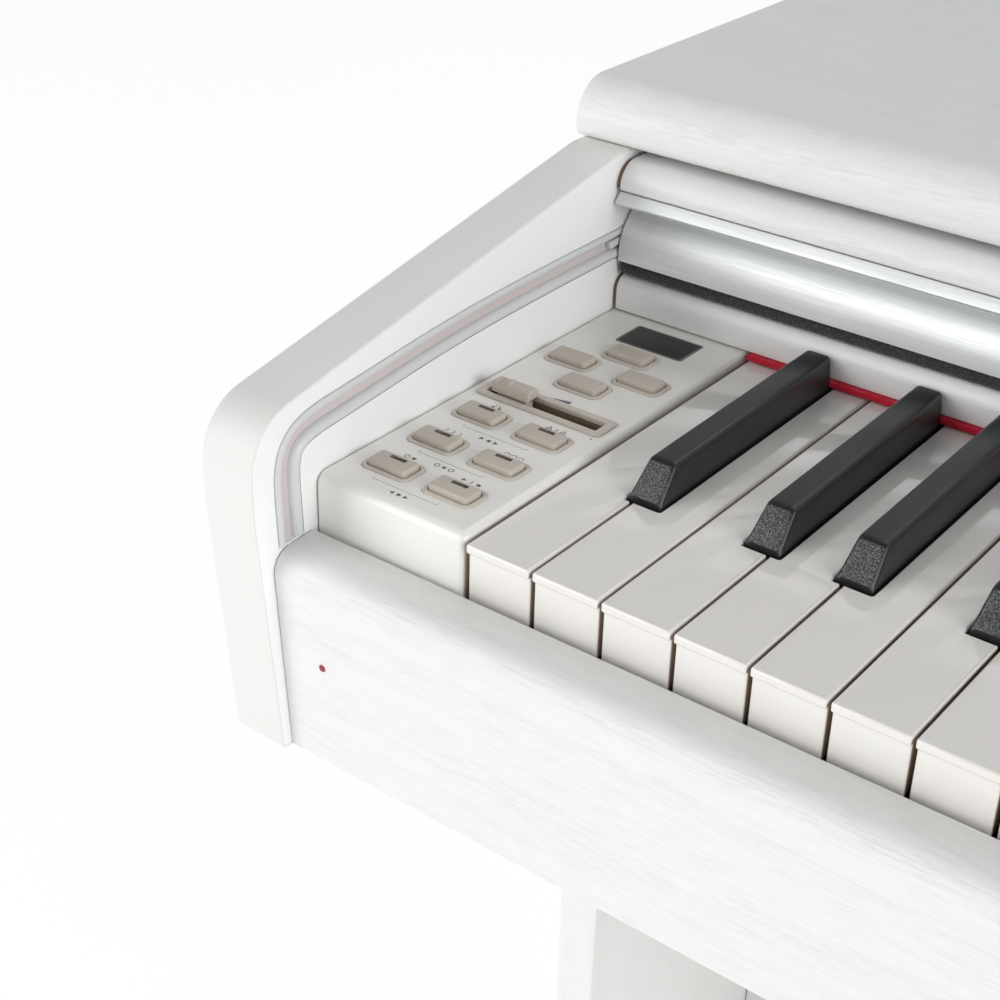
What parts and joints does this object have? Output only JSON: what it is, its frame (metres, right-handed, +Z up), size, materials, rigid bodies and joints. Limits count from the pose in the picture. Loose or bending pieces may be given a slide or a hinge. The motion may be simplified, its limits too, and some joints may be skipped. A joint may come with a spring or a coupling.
{
  "type": "digital piano on stand",
  "caption": "White digital piano on a panel stand, with weighted keys, a sliding key cover in side tracks, a panel of buttons at the bass end, a music rest and pedals.",
  "frame": {"origin": "on the floor, under the middle of the instrument's bounding box", "axes": "+X from the bass end to the treble end, +Y from the player to the back, +Z up"},
  "size_m": [1.382, 0.43, 0.9938],
  "materials": {
    "white_board": "white wood-grain foil on chipboard, satin",
    "track_plastic": "smooth white plastic, satin",
    "panel_plastic": "warm white moulded plastic, satin",
    "button_plastic": "beige-grey moulded plastic, fine matt texture",
    "white_key": "polished white plastic",
    "black_key": "satin black plastic",
    "brushed_aluminium": "brushed along its length",
    "black_felt": "dense black felt",
    "red_felt": "vivid red wool felt",
    "display_window": "dark smoked window",
    "black_plastic": "black moulded plastic",
    "steel": "zinc-plated sheet",
    "speaker_black": "black paper cone and pressed basket",
    "pedal_brass": "polished",
    "red_lens": "small red indicator lens"
  },
  "bodies": {
    "case": {"left_cheek": "white_board", "right_cheek": "white_board", "left_cover_track": "track_plastic", "right_cover_track": "track_plastic", "key_bed": "white_board", "key_slip": "white_board", "power_led": "red_lens", "lid": "white_board", "back_panel": "white_board", "socket_panel": "black_plastic", "name_strip": "white_board", "red_felt": "red_felt", "control_panel": "panel_plastic", "button_frame": "button_plastic", "display_window": "display_window", "right_end_block": "panel_plastic", "key_frame": "steel", "left_speaker": "speaker_black", "right_speaker": "speaker_black", "rest_hinge_rail": "steel", "left_leg": "white_board", "right_leg": "white_board", "left_foot": "white_board", "right_foot": "white_board", "modesty_board": "white_board", "pedal_box": "white_board"},
    "key_cover": {"key_cover_board": "white_board", "key_cover_trim": "brushed_aluminium", "key_cover_felt": "black_felt", "left_cover_runner": "steel", "right_cover_runner": "steel"},
    "key_a0": {"key_a0": "white_key"},
    "key_a_sharp0": {"key_a_sharp0": "black_key"},
    "key_b0": {"key_b0": "white_key"},
    "key_c1": {"key_c1": "white_key"},
    "key_c_sharp1": {"key_c_sharp1": "black_key"},
    "key_d1": {"key_d1": "white_key"},
    "keys_octave_1": {"keys_octave_1": "white_key"},
    "keys_octave_2": {"keys_octave_2": "white_key"},
    "keys_octave_3": {"keys_octave_3": "white_key"},
    "keys_octave_4": {"keys_octave_4": "white_key"},
    "keys_octave_5": {"keys_octave_5": "white_key"},
    "keys_octave_6": {"keys_octave_6": "white_key"},
    "keys_octave_7": {"keys_octave_7": "white_key"},
    "button_cursor_left": {"button_cursor_left": "button_plastic"},
    "button_cursor_up": {"button_cursor_up": "button_plastic"},
    "button_cursor_down": {"button_cursor_down": "button_plastic"},
    "button_cursor_right": {"button_cursor_right": "button_plastic"},
    "button_voice": {"button_voice": "button_plastic"},
    "button_metronome": {"button_metronome": "button_plastic"},
    "button_reverb": {"button_reverb": "button_plastic"},
    "button_chorus": {"button_chorus": "button_plastic"},
    "button_record": {"button_record": "button_plastic"},
    "button_play": {"button_play": "button_plastic"},
    "power_button": {"power_button": "button_plastic"},
    "volume_knob": {"volume_knob": "button_plastic"},
    "pedal_soft": {"pedal_soft": "pedal_brass"},
    "pedal_sostenuto": {"pedal_sostenuto": "pedal_brass"},
    "pedal_sustain": {"pedal_sustain": "pedal_brass"},
    "music_rest": {"music_rest": "white_board"}
  },
  "joints": [
    {"name": "key_a0_press", "type": "hinge", "parent": "case", "child": "key_a0", "pos_m": [0, 0.0265, 0.723], "axis": [1, 0, 0], "range_deg": [0, 2.6], "stiffness_Nm_per_rad": 2.2, "springref_deg": -5.73},
    {"name": "key_a_sharp0_press", "type": "hinge", "parent": "case", "child": "key_a_sharp0", "pos_m": [0, 0.0265, 0.723], "axis": [1, 0, 0], "range_deg": [0, 2.6], "stiffness_Nm_per_rad": 1.6, "springref_deg": -5.73},
    {"name": "key_b0_press", "type": "hinge", "parent": "case", "child": "key_b0", "pos_m": [0, 0.0265, 0.723], "axis": [1, 0, 0], "range_deg": [0, 2.6], "stiffness_Nm_per_rad": 2.2, "springref_deg": -5.73},
    {"name": "key_c1_press", "type": "hinge", "parent": "case", "child": "key_c1", "pos_m": [0, 0.0265, 0.723], "axis": [1, 0, 0], "range_deg": [0, 2.6], "stiffness_Nm_per_rad": 2.2, "springref_deg": -5.73},
    {"name": "key_c_sharp1_press", "type": "hinge", "parent": "case", "child": "key_c_sharp1", "pos_m": [0, 0.0265, 0.723], "axis": [1, 0, 0], "range_deg": [0, 2.6], "stiffness_Nm_per_rad": 1.6, "springref_deg": -5.73},
    {"name": "key_d1_press", "type": "hinge", "parent": "case", "child": "key_d1", "pos_m": [0, 0.0265, 0.723], "axis": [1, 0, 0], "range_deg": [0, 2.6], "stiffness_Nm_per_rad": 2.2, "springref_deg": -5.73},
    {"name": "keys_octave_1_press", "type": "hinge", "parent": "case", "child": "keys_octave_1", "pos_m": [0, 0.0265, 0.723], "axis": [1, 0, 0], "range_deg": [0, 2.6], "stiffness_Nm_per_rad": 15, "springref_deg": -5.73},
    {"name": "keys_octave_2_press", "type": "hinge", "parent": "case", "child": "keys_octave_2", "pos_m": [0, 0.0265, 0.723], "axis": [1, 0, 0], "range_deg": [0, 2.6], "stiffness_Nm_per_rad": 20, "springref_deg": -5.73},
    {"name": "keys_octave_3_press", "type": "hinge", "parent": "case", "child": "keys_octave_3", "pos_m": [0, 0.0265, 0.723], "axis": [1, 0, 0], "range_deg": [0, 2.6], "stiffness_Nm_per_rad": 20, "springref_deg": -5.73},
    {"name": "keys_octave_4_press", "type": "hinge", "parent": "case", "child": "keys_octave_4", "pos_m": [0, 0.0265, 0.723], "axis": [1, 0, 0], "range_deg": [0, 2.6], "stiffness_Nm_per_rad": 20, "springref_deg": -5.73},
    {"name": "keys_octave_5_press", "type": "hinge", "parent": "case", "child": "keys_octave_5", "pos_m": [0, 0.0265, 0.723], "axis": [1, 0, 0], "range_deg": [0, 2.6], "stiffness_Nm_per_rad": 20, "springref_deg": -5.73},
    {"name": "keys_octave_6_press", "type": "hinge", "parent": "case", "child": "keys_octave_6", "pos_m": [0, 0.0265, 0.723], "axis": [1, 0, 0], "range_deg": [0, 2.6], "stiffness_Nm_per_rad": 20, "springref_deg": -5.73},
    {"name": "keys_octave_7_press", "type": "hinge", "parent": "case", "child": "keys_octave_7", "pos_m": [0, 0.0265, 0.723], "axis": [1, 0, 0], "range_deg": [0, 2.6], "stiffness_Nm_per_rad": 24, "springref_deg": -5.73},
    {"name": "button_cursor_left_press", "type": "slide", "parent": "case", "child": "button_cursor_left", "axis": [0, 0, -1], "range_m": [0, 0.0012], "stiffness_N_per_m": 300, "springref_m": -0.001},
    {"name": "button_cursor_up_press", "type": "slide", "parent": "case", "child": "button_cursor_up", "axis": [0, 0, -1], "range_m": [0, 0.0012], "stiffness_N_per_m": 300, "springref_m": -0.001},
    {"name": "button_cursor_down_press", "type": "slide", "parent": "case", "child": "button_cursor_down", "axis": [0, 0, -1], "range_m": [0, 0.0012], "stiffness_N_per_m": 300, "springref_m": -0.001},
    {"name": "button_cursor_right_press", "type": "slide", "parent": "case", "child": "button_cursor_right", "axis": [0, 0, -1], "range_m": [0, 0.0012], "stiffness_N_per_m": 300, "springref_m": -0.001},
    {"name": "button_voice_press", "type": "slide", "parent": "case", "child": "button_voice", "axis": [0, 0, -1], "range_m": [0, 0.0012], "stiffness_N_per_m": 300, "springref_m": -0.001},
    {"name": "button_metronome_press", "type": "slide", "parent": "case", "child": "button_metronome", "axis": [0, 0, -1], "range_m": [0, 0.0012], "stiffness_N_per_m": 300, "springref_m": -0.001},
    {"name": "button_reverb_press", "type": "slide", "parent": "case", "child": "button_reverb", "axis": [0, 0, -1], "range_m": [0, 0.0012], "stiffness_N_per_m": 300, "springref_m": -0.001},
    {"name": "button_chorus_press", "type": "slide", "parent": "case", "child": "button_chorus", "axis": [0, 0, -1], "range_m": [0, 0.0012], "stiffness_N_per_m": 300, "springref_m": -0.001},
    {"name": "button_record_press", "type": "slide", "parent": "case", "child": "button_record", "axis": [0, 0, -1], "range_m": [0, 0.0012], "stiffness_N_per_m": 300, "springref_m": -0.001},
    {"name": "button_play_press", "type": "slide", "parent": "case", "child": "button_play", "axis": [0, 0, -1], "range_m": [0, 0.0012], "stiffness_N_per_m": 300, "springref_m": -0.001},
    {"name": "power_button_press", "type": "slide", "parent": "case", "child": "power_button", "axis": [0, 0, -1], "range_m": [0, 0.002], "stiffness_N_per_m": 400, "springref_m": -0.001},
    {"name": "volume_slide", "type": "slide", "parent": "case", "child": "volume_knob", "axis": [1, 0, 0], "range_m": [-0.0025, 0.0268]},
    {"name": "pedal_soft_press", "type": "hinge", "parent": "case", "child": "pedal_soft", "pos_m": [0, 0.114, 0.074], "axis": [1, 0, 0], "range_deg": [0, 8], "stiffness_Nm_per_rad": 18, "springref_deg": -5.73},
    {"name": "pedal_sostenuto_press", "type": "hinge", "parent": "case", "child": "pedal_sostenuto", "pos_m": [0, 0.114, 0.074], "axis": [1, 0, 0], "range_deg": [0, 8], "stiffness_Nm_per_rad": 18, "springref_deg": -5.73},
    {"name": "pedal_sustain_press", "type": "hinge", "parent": "case", "child": "pedal_sustain", "pos_m": [0, 0.114, 0.074], "axis": [1, 0, 0], "range_deg": [0, 8], "stiffness_Nm_per_rad": 18, "springref_deg": -5.73},
    {"name": "key_cover_slide", "type": "slide", "parent": "case", "child": "key_cover", "axis": [0, -0.9994, -0.034], "range_m": [0, 0.155]},
    {"name": "music_rest_fold", "type": "hinge", "parent": "case", "child": "music_rest", "pos_m": [0, 0.0255, 0.825], "axis": [1, 0, 0], "range_deg": [-70, 0]}
  ]
}
